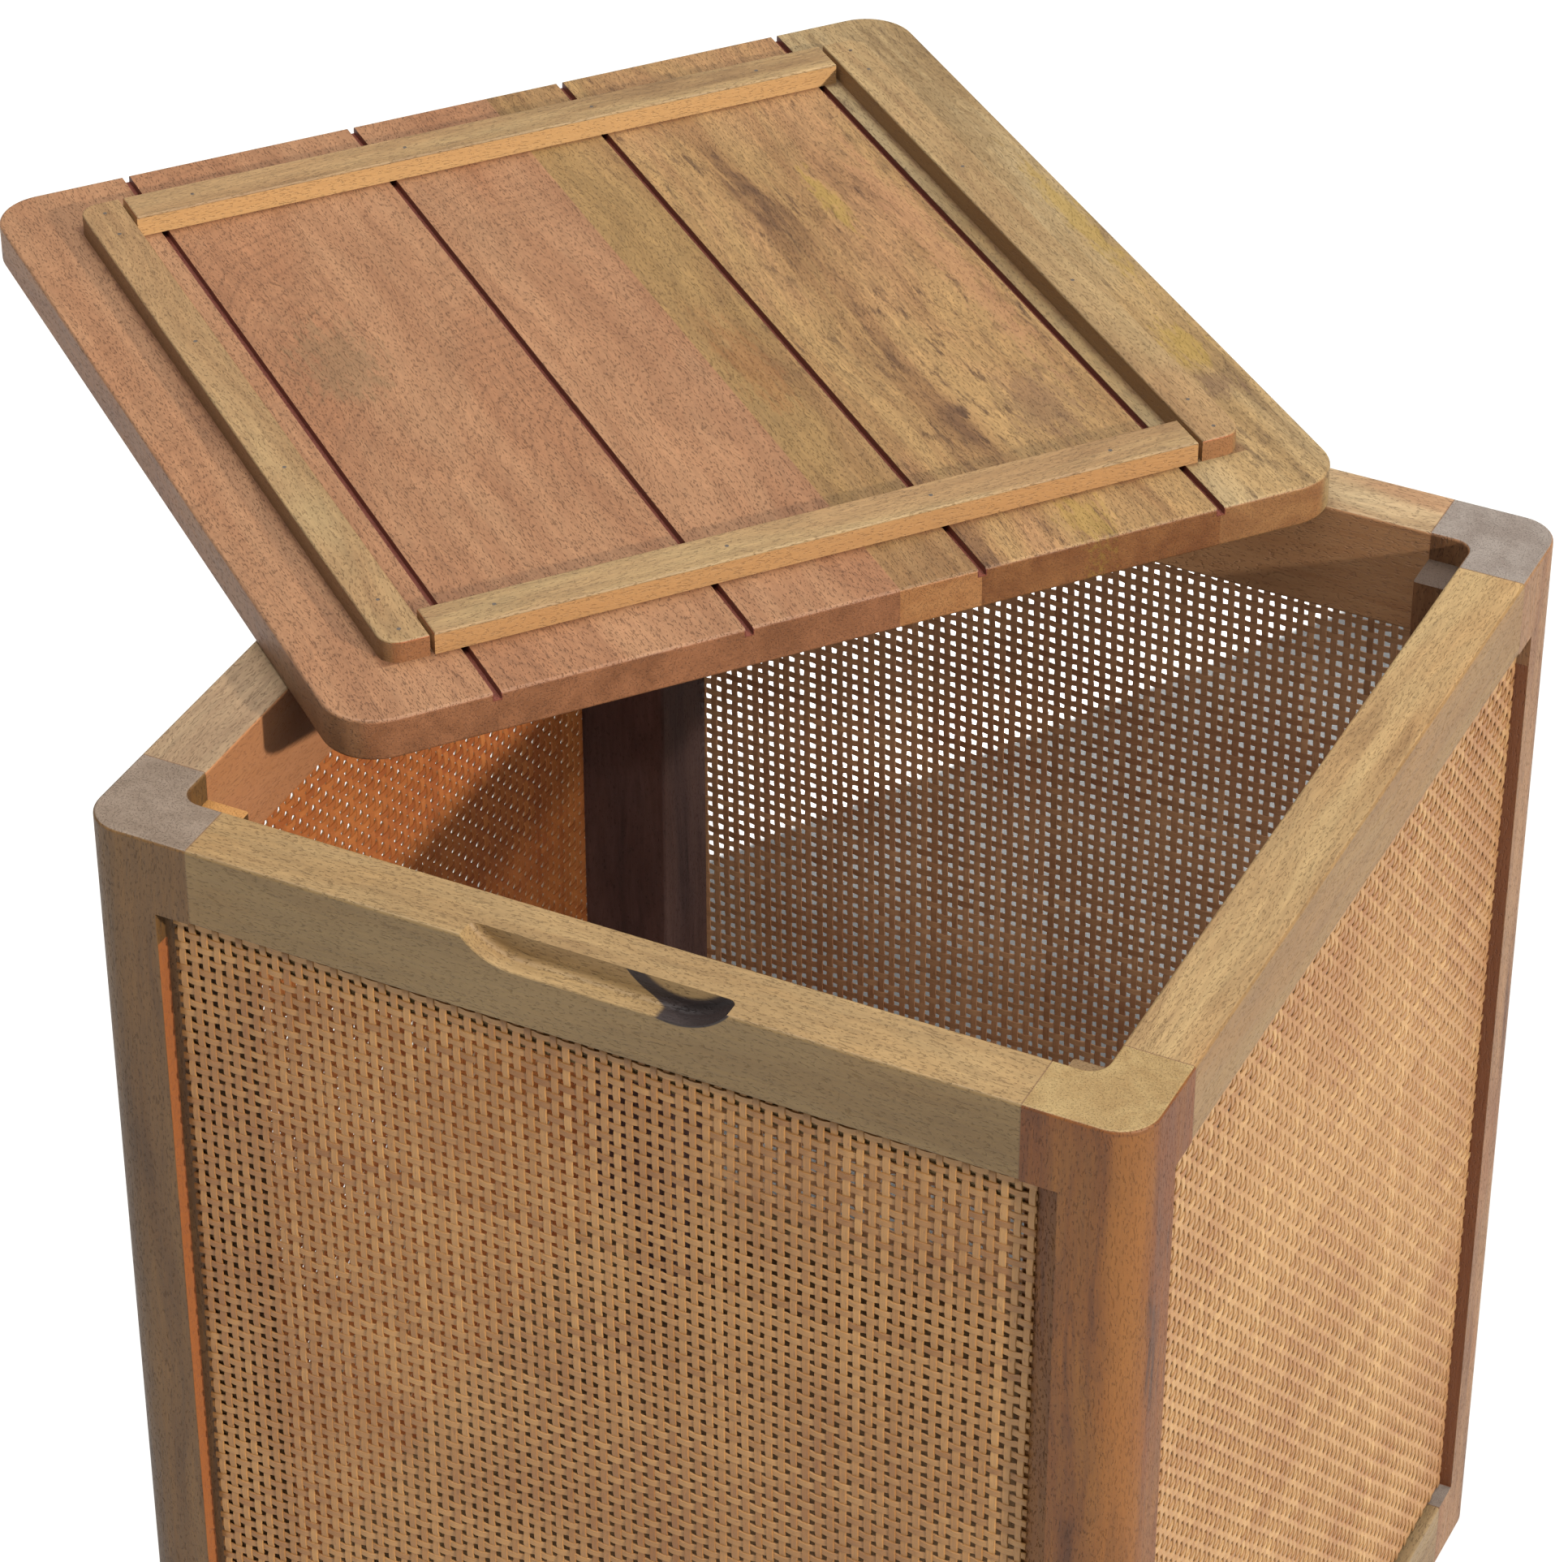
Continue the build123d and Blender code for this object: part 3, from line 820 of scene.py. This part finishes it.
def metal(name, seed):
    """Dull steel with fine scratches and a few rust-brown spots."""
    g = Graph(name)
    p = g.place(shift=(seed, 0, 0))
    scratch = g.noise(g.stretch(p, (900, 3000, 900)), 1.0, 3.0)
    spot = g.ramp(g.noise(p, 700.0, 2.0), 0.6, 0.7)
    colour = g.mix(scratch, linear(70, 62, 56), linear(120, 112, 104))
    colour = g.lay(colour, linear(80, 48, 28), spot, 0.6)
    g.shader.inputs["Metallic"].default_value = 0.8
    return g.finish(colour, g.math("MULTIPLY_ADD", scratch, 0.3, 0.35), scratch, 0.00005)


for number, (corner, (tone, wall, recess, own)) in enumerate(POSTS.items()):
    node = f"post_{corner}"
    marks = [(rebate_wall, wall, 0.85), (ledge, recess, 0.9)] + own
    dress(node, wood(node, "z", 11 + number, tone, marks))

for number, (side, (axis, own)) in enumerate(RAILS.items()):
    top, bottom = f"top_rail_{side}", f"bottom_rail_{side}"
    seam = (rail_seam(axis.upper()), SEAM_BROWN, 0.8)
    dress(top, wood(top, axis, 31 + number, f"rail_{side}", [seam] + own))
    dress(bottom, wood(bottom, axis, 41 + number, "rail_low", [seam]))

for number, tone in enumerate(BOARD_TONES, start=1):
    node = f"lid_board_{number}"
    marks = BOARD_STAINS.get(number, []) + [(batten_foot_shade, FOOT_SHADE, 0.6)]
    marks += [(groove_line(joint), GROOVE_BROWN, 1.0) for joint in LID_JOINTS]
    dress(node, wood(node, "lid", 50 + number, tone, marks))

for number, (place, (along, side_light_and_shade)) in enumerate(BATTENS.items()):
    node = f"lid_batten_{place}"
    marks = [(batten_side, side_light_and_shade, 0.75)]
    dress(node, wood(node, along, 70 + number, "batten", marks))

dress("base_board", wood("base_board", "x", 90, "board"))
for number, node in enumerate(("upper_rail_dowels", "lower_rail_dowels")):
    dress(node, wood(node, "x", 93 + number, "batten"))
dress("lid_batten_pins", metal("pin_steel", 3))
dress("base_screws", metal("screw_steel", 5))

# ---------------------------------------------------------------- woven cane

# Each panel's direction across, and the way it looks from outside
CANE_SIDES = {
    "front": (Vector((1, 0, 0)), Vector((0, -1, 0))),
    "right": (Vector((0, 1, 0)), Vector((1, 0, 0))),
    "back": (Vector((-1, 0, 0)), Vector((0, 1, 0))),
    "left": (Vector((0, -1, 0)), Vector((-1, 0, 0))),
}
PITCH_ACROSS = 5.38 * MM
PITCH_UP = 5.58 * MM

# A strand's width and thickness in millimetres; the left panel lets the least light through
STRAND_SIZES = {"front": (3.25, 0.85), "right": (3.25, 0.85), "back": (3.25, 0.85),
                "left": (3.5, 1.2)}
STRAND_SECTION = ((-0.5, -0.1), (-0.42, -0.5), (0.42, -0.5),
                  (0.5, -0.1), (0.4, 0.5), (-0.4, 0.5))
SECTION_CREASES = (1, 2, 4, 5)

# How far a strand goes over and under, and where on each crossing it is level
WEAVE_RISE = 0.28 * MM
LEVEL_PLACES = (0.26, 0.74)

# A long bend that neighbouring strands share, and each strand's own place in millimetres
WEAVE_DRIFT = 0.9 * MM
DRIFT_ALONG = 2.6
DRIFT_ACROSS = 4.1
STRAND_OFFSET = 0.13
STRAND_SWAY = (0.04, 0.16)


def woven_mesh(name, points, faces, tones):
    """One mesh of many strands, each flat with crisp corners and soft sides."""
    mesh = bpy.data.meshes.new(name)
    mesh.from_pydata(points, [], faces)
    attribute = mesh.attributes.new("tone", "FLOAT", "POINT")
    attribute.data.foreach_set("value", tones)
    work = bmesh.new()
    work.from_mesh(mesh)
    bmesh.ops.recalc_face_normals(work, faces=work.faces)
    work.to_mesh(mesh)
    work.free()
    mesh.shade_smooth()
    crisp = mesh.attributes.new("sharp_edge", "BOOLEAN", "EDGE")
    ring = len(STRAND_SECTION)
    for edge in mesh.edges:
        a, b = edge.vertices
        crisp.data[edge.index].value = a % ring == b % ring and a % ring in SECTION_CREASES
    return mesh


def strands(name, panel, upright, seed):
    """One direction of a panel's strands, each rising over and under those it crosses."""
    across, outward = CANE_SIDES[panel]
    up = Vector((0, 0, 1))
    low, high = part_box(f"cane_panel_{panel}")
    middle = (low + high) / 2
    size = high - low
    wide, tall = abs(size.dot(across)), size.z
    across_count, up_count = round(wide / PITCH_ACROSS), round(tall / PITCH_UP)
    step_across, step_up = wide / across_count, tall / up_count
    if upright:
        run, side, run_step, side_step = up, across, step_up, step_across
        run_count, side_count, phase = up_count, across_count, 1
    else:
        run, side, run_step, side_step = across, up, step_across, step_up
        run_count, side_count, phase = across_count, up_count, -1
    run_half, side_half = run_count * run_step / 2, side_count * side_step / 2

    full_width, thick = [value * MM for value in STRAND_SIZES[panel]]
    draw = random.Random(seed)
    pull = draw.uniform(0, math.tau)
    points, faces, tones = [], [], []
    ring = len(STRAND_SECTION)
    for i in range(side_count):
        centre = -side_half + (i + 0.5) * side_step
        offset = draw.gauss(0, STRAND_OFFSET) * MM
        width = full_width * draw.uniform(0.93, 1.06)
        sway = draw.uniform(*STRAND_SWAY) * MM
        start = draw.uniform(0, math.tau)
        waves = draw.uniform(1.5, 4.0)
        tone = draw.gauss(0.5, 0.2)

        stations = []
        for j in range(run_count):
            level = WEAVE_RISE * phase * (1 if (i + j) % 2 else -1)
            for place in LEVEL_PLACES:
                stations.append((-run_half + (j + place) * run_step, level))
        stations[0] = (-run_half, stations[0][1])
        stations[-1] = (run_half, stations[-1][1])

        first = len(points)
        for t, level in stations:
            share = t / run_half
            drift = centre + offset + sway * math.sin(start + waves * math.pi * share)
            bend = pull + DRIFT_ALONG * share + DRIFT_ACROSS * i / side_count
            drift += WEAVE_DRIFT * math.sin(bend)
            drift = max(-side_half + width / 2, min(side_half - width / 2, drift))
            for s, n in STRAND_SECTION:
                where = run * t + side * (drift + s * width)
                points.append(middle + where + outward * (level + n * thick))
            tones += [tone] * ring
        for k in range(len(stations) - 1):
            a = first + k * ring
            for m in range(ring):
                n = (m + 1) % ring
                faces.append((a + m, a + n, a + ring + n, a + ring + m))
        last = first + (len(stations) - 1) * ring
        faces.append(tuple(first + m for m in reversed(range(ring))))
        faces.append(tuple(last + m for m in range(ring)))
    return link_object(name, woven_mesh(name, points, faces, tones))


# Gain, dark tone, pale tone and stain; back and left are the tones of their inner sides,
# which are painted light and shade for how the inside of the box is lit, the left's a deep orange
OUTSIDE_TONES = (0.5, (178, 126, 72), (216, 168, 108), (164, 108, 60))
CANE_TONES = {
    "front": (0.45, (176, 121, 63), (216, 162, 97), (158, 100, 49)),
    "right": (0.52, (180, 130, 78), (216, 171, 113), (172, 116, 70)),
    "back": (0.64, (150, 106, 72), (190, 143, 102), (140, 88, 55)),
    "left": (0.45, (176, 97, 44), (210, 128, 63), (160, 78, 34)),
}
SPECK_BROWN = (104, 64, 36)


def cane_material(name, panel, turn, seed):
    """Split cane: each strand its own tone, with long fibres, darker patches and wear."""
    g = Graph(name)
    gain, *colours = CANE_TONES[panel]
    low, high, stain = [scaled(colour, gain) for colour in colours]
    # The back and left panels' inner sides take painted light and shade, their outer sides the
    # plainer tones
    if panel in ("back", "left"):
        gain, *colours = OUTSIDE_TONES
        outside = turned_to(g, CANE_SIDES[panel][1], 0.0)
        low, high, stain = [
            g.mix(outside, a, scaled(b, gain)) for a, b in zip((low, high, stain), colours)
        ]
    p = g.place(turn, (seed, seed * 0.7, 0))
    tone = g.node("ShaderNodeAttribute", attribute_name="tone").outputs["Fac"]
    fibre = g.noise(g.stretch(p, (60, 1600, 1600)), 1.0, 3.0, 0.6)
    blotch = g.ramp(g.noise(p, 9.0, 4.0, 0.6), 0.46, 0.64)
    speck = g.ramp(g.noise(g.stretch(p, (150, 500, 500)), 1.0, 2.0), 0.62, 0.75)
    colour = g.mix(tone, low, high)
    colour = g.lay(colour, stain, blotch, 0.6)
    colour = g.shade(colour, fibre, 0.5, 0.75)
    colour = g.lay(colour, linear(*SPECK_BROWN), speck, 0.5)
    rough = g.math("MULTIPLY_ADD", fibre, 0.3, 0.38)
    return g.finish(colour, rough, fibre, 0.00018, 0.4)


pieces = {}
for number, panel in enumerate(CANE_SIDES):
    sideways = "x" if panel in ("front", "back") else "y"
    pieces[panel] = []
    for upright in (True, False):
        kind = "uprights" if upright else "cross"
        name = f"cane_{panel}_{kind}"
        piece = strands(name, panel, upright, 200 + 2 * number + upright)
        turn = GRAIN_TURN["z" if upright else sideways]
        piece.data.materials.append(cane_material(name, panel, turn, 3.1 * number + upright))
        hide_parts(f"cane_panel_{panel}")
        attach(piece, "hamper")
        pieces[panel].append(piece)

# ---------------------------------------------------------------- floor and lamps in place

lights(floor())

# A weak lamp without shadows stands for what a pale room sends in through the weave
fill = sun("fill", FILL_TOWARDS, FILL_STRENGTH, KEY_SPREAD)
fill.data.use_shadow = False
lit_only(fill, pieces["back"] + pieces["left"] + [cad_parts["top_rail_back"]])
